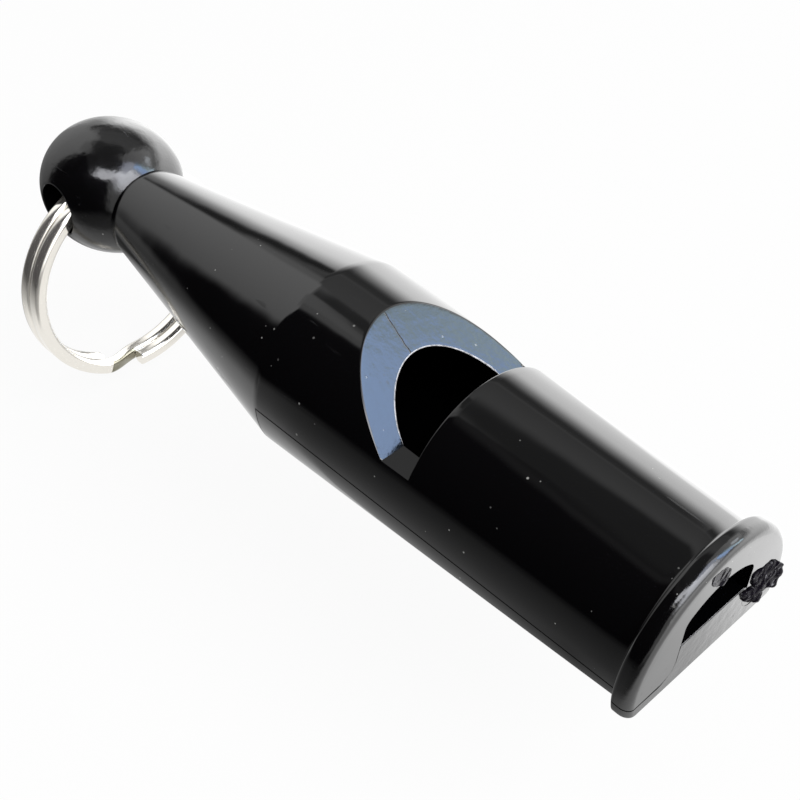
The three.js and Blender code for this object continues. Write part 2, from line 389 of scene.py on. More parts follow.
def low_section(x, radius, start):
    """Section below the seam at each station: down the round side from the start angle, round a small
    corner, across the flat sole or the ball's own underside, and up the other side."""
    x, radius, start = (np.asarray(v, float)[:, None] for v in (x, radius, start))
    rise, sole = lift(x), sole_height(x)
    flat = np.arcsin(np.clip((sole - rise) / np.maximum(radius, TINY), -1, 1))
    corner = np.maximum(flat, SOLE_CORNER_LOWEST)
    size = np.minimum(SOLE_CORNER, SOLE_CORNER_SHARE * radius)
    turn = size / np.maximum(radius, TINY)

    def under(y):
        return np.maximum(sole, rise - np.sqrt(np.maximum(radius ** 2 - y ** 2, 0)))

    side = rounds(x, radius, start + (corner + turn - start) * np.linspace(0, 1, LOW_SIDE + 1))
    edge = rounds(x, radius, corner)
    inner = radius * np.cos(corner) - size
    foot = at(x, inner, under(inner))
    bend = np.moveaxis(curve(side[:, -1], edge[:, 0], foot[:, 0], LOW_CORNER), 0, 1)
    right = np.concatenate([side, bend[:, 1:]], 1)
    across = inner * np.linspace(1, -1, LOW_FLAT + 1)[1:-1]
    return np.concatenate([right, at(x, across, under(across)), mirror(right)[:, ::-1]], 1)


def trough_section(x, side):
    """Section of the chamber below the seam: down the bore to its floor, across, and up again."""
    x = np.asarray(x, float)[:, None]
    floor = sole_height(x) + CHAMBER_FLOOR
    low = np.arcsin(floor / BORE_RADIUS)
    start = seam_angle(np.maximum(x, 0), BORE_RADIUS, side)
    down = start + (low - start) * np.linspace(0, 1, TROUGH_SIDE + 1)
    right = at(x, BORE_RADIUS * np.cos(down), BORE_RADIUS * np.sin(down))
    across = right[:, -1:, 1] * np.linspace(1, -1, LOW_FLAT + 1)[1:-1]
    return np.concatenate([right, at(x, across, floor), mirror(right)[:, ::-1]], 1)


def tail_profile():
    """Stations and radii from the ball's end, along its ellipse, over the cone's rim and to the shoulder."""
    neck = np.arccos(NECK_SETBACK / BALL_HALF_LENGTH)
    swing = np.linspace(np.pi, neck, BALL_ROWS + 1)
    ball = np.stack([BALL_STATION + BALL_HALF_LENGTH * np.cos(swing), BALL_RADIUS * np.sin(swing)], -1)
    tip = np.array([-CONE_LENGTH, CONE_TIP_RADIUS])
    face_end = tip - [0, CONE_TIP_ROUND]
    cone_start = tip + np.array([1, CONE_TAPER]) * CONE_TIP_ROUND
    rim = curve(face_end, tip, cone_start, EDGE_ROWS)
    along = np.linspace(cone_start[0], -SHOULDER_BLEND, CONE_ROWS + 1)
    stations = chain(along, np.linspace(-SHOULDER_BLEND, 0, SHOULDER_ROWS + 1))
    cone = np.stack([stations, barrel_radius(stations)], -1)
    profile = chain(ball, span(ball[-1], face_end, NECK_ROWS), rim, cone)
    return profile[:, 0], profile[:, 1]


def mouth_profile(first):
    """Stations and radii from a first station, along the barrel, round the bead's root, up its rear
    corner's quarter ellipse, along its straight band and down its front corner's quarter ellipse."""
    top = MOUTH_RADIUS + BEAD_STAND_OFF
    stations = np.linspace(first, BEAD_START - BEAD_ROOT, FRONT_ROWS + 1)
    barrel = np.stack([stations, barrel_radius(stations)], -1)
    up = np.linspace(np.pi, np.pi / 2, BEAD_REAR_ROWS + 1)
    long, high = BEAD_REAR
    rear = np.stack([BEAD_START + long * (1 + np.cos(up)), top + high * (np.sin(up) - 1)], -1)
    down = np.linspace(np.pi / 2, 0, BEAD_FRONT_ROWS + 1)
    long, high = BEAD_FRONT
    front = np.stack([BARREL_LENGTH + long * (np.cos(down) - 1), top + high * (np.sin(down) - 1)], -1)
    root = curve(barrel[-1], np.array([BEAD_START, MOUTH_RADIUS]), rear[0], ROOT_ROWS)
    profile = chain(barrel, root, rear, span(rear[-1], front[0], BEAD_BAND_ROWS), front)
    return profile[:, 0], profile[:, 1]


def fillet_line(foot, radius):
    """A quarter round from the seam in to the upright, both across and up."""
    bend = np.linspace(-np.pi / 2, -np.pi, FILLET + 1)
    reach = WINDWAY_HALF_WIDTH + BLOCK_FILLET
    return reach + radius * np.cos(bend), foot + radius + radius * np.sin(bend)


def slot_line(x, outer):
    """The windway's outline at each station, seen from the mouth: in along the seam from the outer
    point, round the fillet, up the side, round a corner, over the roof's arc and down again. It climbs
    with the seam."""
    foot = -SEAM_DEPTH_AT_MOUTH + CHANNEL_HALF_GAP
    bend_y, bend_z = fillet_line(foot, BLOCK_FILLET)
    roof = np.arccos(WINDWAY_HALF_WIDTH / WINDWAY_ROOF_RADIUS)
    top = WINDWAY_ROOF_RADIUS * np.sin(roof)
    turn = roof + WINDWAY_CORNER / WINDWAY_ROOF_RADIUS
    arc = np.linspace(turn, np.pi - turn, SLOT_CROWN + 1)
    crown = WINDWAY_ROOF_RADIUS * np.stack([np.cos(arc), np.sin(arc)], -1)
    below = np.array([WINDWAY_HALF_WIDTH, top - WINDWAY_CORNER])
    corner = curve(below, np.array([WINDWAY_HALF_WIDTH, top]), crown[0], SLOT_CORNER)[:-1]
    rise = np.linspace(foot + BLOCK_FILLET, below[1], SLOT_RISE + 1)[1:-1]
    y = np.concatenate([bend_y, np.full(len(rise), WINDWAY_HALF_WIDTH), corner[:, 0]])
    z = np.concatenate([bend_z, rise, corner[:, 1]])
    y = np.concatenate([y, crown[:, 0], -y[::-1]])
    z = np.concatenate([z, crown[:, 1], z[::-1]])
    return climbing(x, outer, y, z, SIDE, BODY_SEAM - CHANNEL_HALF_GAP)


def block_line(x, outer):
    """The block's outline at each station, seen from the mouth: in along the seam, round the fillet,
    up the side, across the windway's floor and down again, a hair inside the channel."""
    foot = -SEAM_DEPTH_AT_MOUTH - CHANNEL_HALF_GAP
    fillet = BLOCK_FILLET + BLOCK_SIDE_GAP
    bend_y, bend_z = fillet_line(foot, fillet)
    half = WINDWAY_HALF_WIDTH + BLOCK_FILLET - fillet
    rise = np.linspace(foot + fillet, WINDWAY_FLOOR, BLOCK_RISE + 1)[1:-1]
    across = half * np.linspace(1, -1, BLOCK_TOP + 1)
    y = np.concatenate([bend_y, np.full(len(rise), half)])
    z = np.concatenate([bend_z, rise])
    y = np.concatenate([y, across, -y[::-1]])
    z = np.concatenate([z, np.full(len(across), WINDWAY_FLOOR), z[::-1]])
    return climbing(x, outer, y, z, TROUGH_SIDE, INSERT_SEAM + CHANNEL_HALF_GAP)


def climbing(x, outer, y, z, steps, rise):
    """An outline at each station, with a straight lead-in at both ends from the outer point, which lies
    higher by that rise. x is a column of stations, or one station for each point of the outline."""
    x = np.asarray(x, float)
    x = x[:, None] if x.ndim == 1 else x
    outer = np.asarray(outer, float)[:, None]
    share = np.linspace(0, 1, steps + 1)[:-1]
    lead = outer + (y[0] - outer) * share + WINDWAY_SHIFT * share
    trail = -outer - (y[0] - outer) * share + WINDWAY_SHIFT * share
    line = np.broadcast_to(y + WINDWAY_SHIFT, (len(outer), len(y)))
    across = np.concatenate([lead, line, trail[:, ::-1]], 1)
    slope = z[0] + rise * (1 - share)
    level = np.concatenate([slope, z, slope[::-1]])
    return at(x, across, level + SEAM_FALL * (BARREL_LENGTH - x))


def set_back(line, size):
    """An outline in the end face, moved into the face's material by a size along its own normal."""
    run = np.gradient(line, axis=0)
    normal = at(0, -run[:, 2], run[:, 1])
    normal /= np.maximum(np.linalg.norm(normal, axis=1), TINY)[:, None]
    return line + normal * size[:, None]


def slot_rounding(count, lead):
    """Size of the rounding along an outline: nothing along its lead-in, then growing to the full edge."""
    place = np.minimum(np.arange(count), np.arange(count)[::-1])
    return SLOT_EDGE * np.clip((place - lead) / SLOT_EDGE_GROWTH, 0, 1)


def windway_half(shell, outline, lip, front, back):
    """The windway's channel or its block along the front: the outline at each station, the ledges out to
    the seam and the wall at the back. It gives the last row, and the sharp edge that it rounds off."""
    x, _ = mouth_profile(WINDOW_END)
    share = (x - WINDOW_END) / (BARREL_LENGTH - WINDOW_END)
    outer_y = back[0, 1] * (1 - share) + front[:, 0, 1] * share
    rows = outline(x[:, None] - lip * share[:, None], outer_y)
    shell.grid(rows, dusty=0.0)
    shell.both_sides(span(front[:, 0], rows[:, 0], 1))
    shell.grid(span(back, rows[0], FACE_ROWS), dusty=0.0)
    return rows[-1], outline([BARREL_LENGTH], outer_y[-1:])[0]


def body_tail(shell):
    """Ball and cone as whole rounds about the axis, with the ring's hole across the ball. It gives the
    lower part of the last round, at the shoulder."""
    x, radius = tail_profile()
    first = seam_angle(0, barrel_radius(0), BODY_SEAM)
    right = np.linspace(first, STEP_ANGLE, SIDE + 1)
    upper = rounds(x[:, None], radius[:, None], both_ends(right, OVER_WINDOW))
    lower = low_section(x, radius, np.full(len(x), first))
    loop = np.concatenate([lower[:, PATCH_BELOW:0:-1], upper, lower[:, -2:PATCH_BELOW:-1]], 1)
    loop = np.concatenate([loop, loop[:, :1]], 1)
    wide, high = ball_oval(loop[..., 0])
    rise = lift(loop[..., 0])
    loop = at(loop[..., 0], loop[..., 1] * wide, rise + (loop[..., 2] - rise) * high)

    width = PATCH_BELOW + SIDE + PATCH_ABOVE
    left = PATCH_BELOW + UPPER - SIDE - PATCH_ABOVE
    keep = np.ones((loop.shape[0] - 1, loop.shape[1] - 1), bool)
    keep[PATCH_START:PATCH_END, :width] = False
    keep[PATCH_START:PATCH_END, left:left + width] = False
    of_ball = np.arange(len(x) - 1) < BALL_ROWS
    shell.grid(loop, keep=keep, satin=BALL_SATIN * of_ball[:, None])
    border = np.concatenate([
        loop[PATCH_START, :width],
        loop[PATCH_START:PATCH_END, width],
        loop[PATCH_END, width:0:-1],
        loop[PATCH_END:PATCH_START - 1:-1, 0]])
    ring_hole(shell, border)
    return lower[-1]


def ring_hole(shell, border):
    """The hole across the ball: straight runs, seen along y, from a border on the ball to the hole's
    rim, each point at the ball's own depth; then a rounded edge, and a tube to the other side."""
    x, z = border[:, 0], border[:, 2]
    turn = np.arctan2(z - BALL_HEIGHT, x - BALL_STATION)

    def on_ball(x, z):
        wide, high = ball_oval(x)
        return at(x, wide * np.sqrt(np.maximum(ball_radius(x) ** 2 - ((z - lift(x)) / high) ** 2, 0)), z)

    def circle(radius):
        return BALL_STATION + radius * np.cos(turn), BALL_HEIGHT + radius * np.sin(turn)

    rim_x, rim_z = circle(HOLE_RADIUS + HOLE_EDGE)
    skin = on_ball(span(x, rim_x, HOLE_ROWS), span(z, rim_z, HOLE_ROWS))
    corner = on_ball(*circle(HOLE_RADIUS))
    inside = corner - at(0, HOLE_EDGE, 0)
    shell.both_sides(chain(skin, curve(skin[-1], corner, inside, EDGE_ROWS)), satin=BALL_SATIN)
    shell.grid(span(inside, mirror(inside), TUBE_ROWS), dusty=0.0)


def barrel_flanks(shell):
    """Both sides of the barrel, from the seam up to the window and its steps. It gives the right one."""
    rear = np.linspace(SHOULDER_BLEND, STEP_START, REAR_ROWS + 1)
    stations = chain(SHOULDER_STATIONS, rear, STEP_STATIONS)
    sides = barrel_radius(stations)
    low = seam_angle(stations, sides, BODY_SEAM)
    high = np.where(stations <= STEP_START, STEP_ANGLE, np.arcsin(STEP_HEIGHT / sides))
    climb = low[:, None] + (high - low)[:, None] * np.linspace(0, 1, SIDE + 1)
    flank = rounds(stations[:, None], sides[:, None], climb)
    shell.both_sides(flank)
    return flank


def sound_window(shell):
    """The barrel behind the window, the rounded rim where a slanting plane cuts it, the ramp in that plane
    down to the bore, its worn edge, the bore's roof behind that edge, and the flat steps at both sides."""
    soft = fade(OVER_WINDOW, STEP_ANGLE)
    height = np.sin(OVER_WINDOW)
    cut = (RAMP_TOP - SHOULDER_RADIUS * height) / (RAMP_SLOPE - BARREL_TAPER * height)
    rim = cut - WINDOW_EDGE * soft
    roof = chain(
        np.broadcast_to(SHOULDER_STATIONS[:, None], (SHOULDER_ROWS + 1, WINDOW + 1)),
        span(np.full(WINDOW + 1, SHOULDER_BLEND), rim, REAR_ROWS))
    shell.grid(rounds(roof, barrel_radius(roof), OVER_WINDOW))

    edge = rounds(cut, barrel_radius(cut), OVER_WINDOW)
    labium = bore_arc((RAMP_TOP - BORE_RADIUS * np.sin(OVER_BORE)) / RAMP_SLOPE)
    down = labium - edge
    down /= np.linalg.norm(down, axis=1)[:, None]
    ramp_start = edge + down * (WINDOW_EDGE * soft)[:, None]
    ramp_end = labium - down * (LABIUM_EDGE * soft)[:, None]
    under = labium - at(LABIUM_EDGE * soft, 0, 0)
    shell.grid(curve(rounds(rim, barrel_radius(rim), OVER_WINDOW), edge, ramp_start, EDGE_ROWS))
    shell.grid(span(ramp_start, ramp_end, RAMP_ROWS), satin=RAMP_SATIN, knit=1.0)
    shell.grid(curve(ramp_end, labium, under, EDGE_ROWS), worn=1.0)
    behind = span(bore_arc(0), bore_arc(CHAMBER_BACK), BACK_ROWS)
    shell.grid(chain(span(under, bore_arc(0), BORE_ROWS), behind), dusty=0.0)

    reach = np.sqrt(barrel_radius(STEP_STATIONS) ** 2 - STEP_HEIGHT ** 2)
    inner_step = at(STEP_STATIONS, BORE_RADIUS * np.cos(INNER_ANGLE), STEP_HEIGHT)
    shell.both_sides(span(at(STEP_STATIONS, reach, STEP_HEIGHT), inner_step, RAMP_ROWS))


def bore_walls(shell):
    """Both sides of the bore, from the seam up to the window. It gives the right one."""
    x = chain(CHAMBER_STATIONS, np.linspace(0, STEP_START, BORE_ROWS + 1), STEP_STATIONS)
    low = seam_angle(np.maximum(x, 0), BORE_RADIUS, BODY_SEAM)[:, None]
    climb = low + (INNER_ANGLE - low) * np.linspace(0, 1, SIDE + 1)
    wall = at(x[:, None], BORE_RADIUS * np.cos(climb), BORE_RADIUS * np.sin(climb))
    shell.both_sides(wall, dusty=0.0)
    return wall


def chamber_walls(shell, shoulder_low, bore_wall):
    """The chamber behind the shoulder: its trough, its flat end wall and the ledge that faces the insert."""
    trough = trough_section(CHAMBER_STATIONS, BODY_SEAM)
    shell.grid(trough, dusty=0.0)
    ends = np.concatenate([whole_arc(bore_wall[0], CHAMBER_BACK), trough[0, -2::-1]])
    middle = np.broadcast_to(at(CHAMBER_BACK, 0, 0), ends.shape)
    shell.grid(span(ends, middle, END_WALL_ROWS), dusty=0.0)
    shell.grid(span(shoulder_low, trough[-1], 1), dusty=0.0)


def barrel_front(shell):
    """The barrel in front of the window and its bead, as rounds from seam to seam, and the wall that faces
    the window, under a rounded crest. It gives the rounds."""
    x, radius = mouth_profile(WINDOW_END)
    low = seam_angle(x, radius, BODY_SEAM)[:, None]
    wall = np.linspace(WALL_ANGLE, np.pi - WALL_ANGLE, WINDOW + 1)
    row = both_ends(np.linspace(low[0, 0], WALL_ANGLE, SIDE + 1), wall)
    share = (row - low[0]) / (np.pi - 2 * low[0])
    sweep = low + (np.pi - 2 * low) * share
    soft = WINDOW_EDGE * fade(row, WALL_ANGLE)
    stations = np.broadcast_to(x[:, None], sweep.shape).copy()
    stations[0] += soft
    radii = np.broadcast_to(radius[:, None], sweep.shape).copy()
    radii[0] = barrel_radius(stations[0])
    front = rounds(stations, radii, sweep)
    of_bead = np.arange(len(x) - 1) >= len(x) - 1 - BEAD_FRONT_ROWS
    shell.grid(front, satin=BEAD_SATIN * of_bead[:, None])

    wall_radius = barrel_radius(WINDOW_END)
    crest = rounds(WINDOW_END, wall_radius, wall)
    face_top = rounds(WINDOW_END, wall_radius - soft[SIDE:-SIDE], wall)
    shell.grid(curve(front[0, SIDE:-SIDE], crest, face_top, EDGE_ROWS))
    shell.grid(span(face_top, bore_arc(WINDOW_END), RAMP_ROWS), dusty=0.0)
    return front


def whistle_body():
    """The upper moulding: ball, cone, barrel with its window, bead, end face, bore, chamber and channel."""
    shell = Shell()
    shoulder_low = body_tail(shell)
    flank = barrel_flanks(shell)
    sound_window(shell)
    bore_wall = bore_walls(shell)
    chamber_walls(shell, shoulder_low, bore_wall)
    front = barrel_front(shell)
    lip = slot_rounding(UPPER + 1, SIDE)
    last, edge = windway_half(shell, slot_line, lip, front, whole_arc(bore_wall[-1], WINDOW_END))
    face = set_back(edge, lip)
    shell.grid(chain(span(front[-1], face, FACE_ROWS), curve(face, edge, last, EDGE_ROWS)))
    shell.both_sides(span(flank[:, 0], bore_wall[BACK_ROWS:, 0], 1))
    return shell.build("whistle_body_skin")


def fipple_insert():
    """The lower moulding: sole, sides and bead below the seam, chamber trough, and the windway's block."""
    shell = Shell()
    rear = np.linspace(INSERT_START, WINDOW_END, TROUGH_ROWS + 1)
    mouth_x, mouth_radius = mouth_profile(WINDOW_END)
    x = chain(rear, mouth_x)
    radius = chain(barrel_radius(rear), mouth_radius)
    skin = low_section(x, radius, seam_angle(x, radius, INSERT_SEAM))
    trough = trough_section(rear, INSERT_SEAM)
    shell.grid(skin)
    shell.grid(trough, dusty=0.0)
    shell.grid(span(skin[0], trough[0], 1))
    shell.both_sides(span(skin[:TROUGH_ROWS + 1, 0], trough[:, 0], 1))

    lip = slot_rounding(LOWER + 1, TROUGH_SIDE)
    last, edge = windway_half(shell, block_line, lip, skin[TROUGH_ROWS:], trough[-1])
    face = set_back(edge, -lip)
    shell.grid(span(skin[-1], face, FACE_ROWS), satin=BLOCK_SATIN)
    by_floor = edge[:, 2] > WINDWAY_FLOOR - SLOT_EDGE
    worn = (by_floor[1:] & by_floor[:-1]).astype(float)
    shell.grid(curve(face, edge, last, EDGE_ROWS), worn=worn)
    return shell.build("fipple_insert_skin")


def torn_lump(name, middle, halves):
    """A torn lump on the end face: a closed oval patch, sunk in the face behind. In front it stands out by
    a share of the room up to the mouth's foremost edge, which folded sine waves in drawn directions give."""
    around = np.linspace(0, 2 * np.pi, TORN_COLUMNS + 1)
    around, out = np.meshgrid(around, np.linspace(0, np.pi, TORN_ROWS + 1))
    draw = np.random.default_rng(TORN_SEED)
    phases = draw.uniform(0, 2 * np.pi, len(RIM_WAVES))
    ragged = 1 + RIM_RAGGED * (np.sin(RIM_WAVES * around[..., None] + phases) / RIM_WAVES).sum(-1)
    long = halves[0] * ragged * np.sin(out) * np.cos(around)
    wide = halves[1] * ragged * np.sin(out) * np.sin(around)
    y = middle[0] + long * np.cos(TORN_TURN) - wide * np.sin(TORN_TURN)
    z = middle[1] + long * np.sin(TORN_TURN) + wide * np.cos(TORN_TURN)
    crumbs = np.zeros(around.shape)
    for pitch in FOLD_PITCHES:
        heading, phase = draw.uniform(0, 2 * np.pi, (2, FOLD_COUNT))
        along = y[..., None] * np.cos(heading) + z[..., None] * np.sin(heading)
        folds = np.abs(np.sin(np.pi * along / pitch + phase)).mean(-1)
        crumbs += np.clip((folds - FOLD_LOWEST) / FOLD_RANGE, 0, 1) / len(FOLD_PITCHES)
    rise = np.clip(np.cos(out), 0, 1) ** RIM_RISE * (TORN_LEAST + (1 - TORN_LEAST) * crumbs)
    face = to_frame(at(BARREL_LENGTH, y, z))[..., 0] / MM
    room = (cad_box[1][0] / MM - TORN_MARGIN - face) / np.cos(SOLE_ANGLE)
    sunk = TORN_ROOT * np.minimum(np.cos(out), 0)
    shell = Shell()
    shell.grid(at(BARREL_LENGTH + room * rise + sunk, y, z))
    return shell.build(name, sharp_angle=TORN_SHARP)


def split_ring():
    """Two turns of rounded flat wire: the section is carried round a circle, and steps back by one pitch
    at the crossover on a smooth ramp. Its two cut ends are closed by rows that shrink to their middle."""
    hole = to_frame(at(BALL_STATION, 0, BALL_HEIGHT)) / MM
    end = CROSSOVER_HALF + END_SETBACK
    closing = len(END_SHRINK) - 1
    order = np.clip(np.arange(-closing, RING_STEPS + 1 + closing), 0, RING_STEPS)
    turned = np.linspace(end, 4 * np.pi - end, RING_STEPS + 1)[order]
    size = np.concatenate([END_SHRINK, np.ones(RING_STEPS - 1), END_SHRINK[::-1]])[:, None]
    angle = CROSSOVER_AT - turned[:, None]
    back = ease(((turned[:, None] - 2 * np.pi) / CROSSOVER_HALF + 1) / 2)

    corner = np.linspace(0, 2 * np.pi, WIRE_POINTS + 1)[:-1]
    quarter = (np.floor(corner / (np.pi / 2) + TINY) + 0.5) * np.pi / 2
    wide = (WIRE_WIDTH / 2 - WIRE_CORNER) * np.sign(np.cos(quarter)) + WIRE_CORNER * np.cos(corner)
    deep = (WIRE_THICKNESS / 2 - WIRE_CORNER) * np.sign(np.sin(quarter)) + WIRE_CORNER * np.sin(corner)
    outward = RING_RADIUS + size * deep
    across = (WIRE_WIDTH + TURN_GAP) * (0.5 - back) + size * wide
    height = hole[2] - RING_DROP + outward * np.cos(angle)
    points = at(hole[0] + across, outward * np.sin(angle), height)
    points = np.concatenate([points, points[:, :1]], 1)

    # Painted shade: the wire's side in the crossover, where it lies in shadow, gets the olive colour
    stretch = (turned > 2 * np.pi - SHADE_BEFORE_CROSSOVER) & (turned < 2 * np.pi + end)
    outer_side = np.cos(corner) > SHADED_SIDE
    shell = Shell()
    shell.grid(points, worn=(stretch[:-1, None] & outer_side).astype(float))
    return shell.build("split_ring_wire", placed=lambda p: p * MM, sharp_angle=WIRE_SHARP)


# Colours of the finishes, with the pale grey of torn crumbs and painted glints, and the olive of the ring's
# painted shade
BLACK = (0.0008, 0.0008, 0.001, 1)
DUST_GREY = (0.32, 0.32, 0.31, 1)
WORN_GREY = (0.55, 0.55, 0.57, 1)
TORN_BLACK = (0.005, 0.004, 0.007, 1)
# Pale grey of torn crumbs and of painted glints on them
CRUMB_AND_GLINT_GREY = (0.3, 0.3, 0.32, 1)
NICKEL = (0.84, 0.81, 0.75, 1)
# Olive painted shade for the wire's side in the ring's crossover
CROSSOVER_SHADE_OLIVE = (0.15, 0.14, 0.085, 1)

# Roughness from the smoothest to the roughest patches, what a scratch adds and that of worn edges
POLISHED, TOOLED, TORN, PLATED = (0.05, 0.1), (0.22, 0.36), (0.15, 0.35), (0.11, 0.2)
SCRATCH_ROUGHNESS, WORN_ROUGHNESS = 0.15, 0.45

# Depth of each relief in metres, and what the mottle, the knit line and the torn grain count in it
MOULD_DEPTH, TOOL_DEPTH, TORN_DEPTH = 0.00007, 0.00002, 0.0007
MOTTLE_WEIGHT, KNIT_LINE_WEIGHT, TORN_GRAIN_WEIGHT = 5, -2.4, 0.2

# Dust in two sizes: points to a metre, the share of them that hold a speck, and its size
DUST = ((520, 0.45, 0.07), (900, 0.3, 0.08))
SPECK_EDGE = 1.4
FAINTEST_SPECK = 0.1
DRAW_EDGE = 0.01

# Hair scratches: turn and waves to a metre of the noise that they are drawn from, and where it shows
SCRATCH_TURN, SCRATCH_WAVES, SCRATCH_RANGE = (0, 0.05, 0.04), (14, 1500, 1500), (0.73, 0.76)

# Ranges of most noise, of worn grains, of the pale crumbs and painted glints on torn plastic and of the
# ring's painted shade, and the shares that two of them give
MOST_NOISE = (0.3, 0.7)
WORN_GRAIN, CRUMB_AND_GLINT_GRAIN, SHADE_GRAIN = (0.35, 0.6), (0.63, 0.74), (0.3, 0.6)
WORN_SHARE, SHADE_SHARE = (0.35, 1), (0.7, 1)

# Plastic's index of refraction
PLASTIC_IOR = 1.5

# Places of the two colours and of their mix among a mixing node's sockets
FIRST_COLOUR, SECOND_COLOUR, MIXED_COLOUR = 6, 7, 2


def principled(name):
    """A material, its tree and its principled shader."""
    material = bpy.data.materials.new(name)
    material.use_nodes = True
    return material, material.node_tree, material.node_tree.nodes["Principled BSDF"]


def feed(tree, made, sockets):
    """Gives sockets of a node a plain value each, or a link from another node's output."""
    for name, value in dict(sockets).items():
        if isinstance(value, bpy.types.NodeSocket):
            tree.links.new(value, made.inputs[name])
        else:
            made.inputs[name].default_value = value


def node(tree, kind, sockets=(), **settings):
    """A new node with its settings, its sockets fed."""
    made = tree.nodes.new(kind)
    for name, value in settings.items():
        setattr(made, name, value)
    feed(tree, made, sockets)
    return made


def remap(tree, value, old, new):
    """A value's old range turned into a new one, and held at its ends."""
    ranges = {"Value": value, "From Min": old[0], "From Max": old[1], "To Min": new[0], "To Max": new[1]}
    return node(tree, "ShaderNodeMapRange", ranges).outputs["Result"]


def blend_colour(tree, share, first, second):
    """A colour between two, by a share."""
    sockets = {"Factor": share, FIRST_COLOUR: first, SECOND_COLOUR: second}
    return node(tree, "ShaderNodeMix", sockets, data_type="RGBA").outputs[MIXED_COLOUR]


def combine(tree, operation, *values):
    """One math node on up to three values."""
    return node(tree, "ShaderNodeMath", enumerate(values), operation=operation).outputs["Value"]


def object_place(tree):
    """The place on the piece, in metres."""
    return node(tree, "ShaderNodeTexCoord").outputs["Object"]


def finish_share(tree, finish):
    """The share of a finish that each face holds."""
    return node(tree, "ShaderNodeAttribute", attribute_name=finish).outputs["Fac"]


def noise(tree, place, scale, detail):
    """Noise of that many waves to a metre, with that many finer layers."""
    sockets = {"Vector": place, "Scale": scale, "Detail": detail}
    return node(tree, "ShaderNodeTexNoise", sockets).outputs["Fac"]


def relief(tree, height, depth, **under):
    """A bump of a depth in metres, laid over another one's Normal where that is given."""
    sockets = {"Strength": 1, "Distance": depth, "Height": height, **under}
    return node(tree, "ShaderNodeBump", sockets).outputs["Normal"]


def specks(tree, place, ragged, scale, share, size):
    """Dust: small ragged spots round the points of a Voronoi pattern, of which only a drawn share is kept."""
    dust = node(tree, "ShaderNodeTexVoronoi", {"Vector": place, "Scale": scale})
    away = combine(tree, "MULTIPLY_ADD", ragged, size, dust.outputs["Distance"])
    near = remap(tree, away, (SPECK_EDGE * size, size), (0, 1))
    drawn = node(tree, "ShaderNodeSeparateColor", {"Color": dust.outputs["Color"]}).outputs
    kept = remap(tree, drawn["Red"], (1 - share, 1 + DRAW_EDGE - share), (0, 1))
    pale = remap(tree, drawn["Green"], (0, 1), (FAINTEST_SPECK, 1))
    return combine(tree, "MULTIPLY", near, combine(tree, "MULTIPLY", kept, pale))


def knit_groove(tree, place, mottle):
    """The knit line: a groove, evenly shallower to both sides of a line that wanders with the mottle."""
    across = node(tree, "ShaderNodeSeparateXYZ", {"Vector": place}).outputs["Y"]
    start = (KNIT_LINE_Y - KNIT_LINE_WANDER / 2) * MM
    line = combine(tree, "MULTIPLY_ADD", mottle, KNIT_LINE_WANDER * MM, start)
    away = combine(tree, "ABSOLUTE", combine(tree, "SUBTRACT", across, line))
    depth = remap(tree, away, (0, KNIT_LINE_HALF * MM), (1, 0))
    return combine(tree, "MULTIPLY", finish_share(tree, "knit"), depth)


def black_plastic(name):
    """Black gloss plastic: polish that varies in soft patches, the faint waves of a moulding, pale dust in
    two sizes, hair scratches along the barrel, satin tool marks and pale worn edges where attributes say."""
    material, tree, shader = principled(name)
    place = object_place(tree)
    satin, worn, dusty = (finish_share(tree, finish) for finish in ("satin", "worn", "dusty"))
    grain = noise(tree, place, scale=2600, detail=4)
    mottle = noise(tree, place, scale=1100, detail=4)
    stretched = {"Vector": place, "Rotation": SCRATCH_TURN, "Scale": SCRATCH_WAVES}
    hair = noise(tree, node(tree, "ShaderNodeMapping", stretched).outputs["Vector"], scale=1, detail=1)
    scratch = remap(tree, hair, SCRATCH_RANGE, (0, 1))
    coarse, fine = (specks(tree, place, grain, *sizes) for sizes in DUST)
    dust = combine(tree, "MULTIPLY", dusty, combine(tree, "MAXIMUM", coarse, fine))

    polished = remap(tree, noise(tree, place, scale=140, detail=3), MOST_NOISE, POLISHED)
    tooled = remap(tree, grain, MOST_NOISE, TOOLED)
    rough = combine(tree, "MULTIPLY_ADD", combine(tree, "SUBTRACT", tooled, polished), satin, polished)
    rough = combine(tree, "MULTIPLY_ADD", scratch, SCRATCH_ROUGHNESS, rough)
    rough = combine(tree, "MAXIMUM", rough, combine(tree, "MULTIPLY", worn, WORN_ROUGHNESS))
    edge = combine(tree, "MULTIPLY", worn, remap(tree, grain, WORN_GRAIN, WORN_SHARE))
    colour = blend_colour(tree, edge, blend_colour(tree, dust, BLACK, DUST_GREY), WORN_GREY)

    moulded = relief(tree, noise(tree, place, scale=95, detail=2.5), MOULD_DEPTH)
    marks = combine(tree, "MULTIPLY", combine(tree, "MULTIPLY_ADD", mottle, MOTTLE_WEIGHT, grain), satin)
    marks = combine(tree, "MULTIPLY_ADD", knit_groove(tree, place, mottle), KNIT_LINE_WEIGHT, marks)
    normal = relief(tree, marks, TOOL_DEPTH, Normal=moulded)
    feed(tree, shader, {"IOR": PLASTIC_IOR, "Base Color": colour, "Roughness": rough, "Normal": normal})
    return material


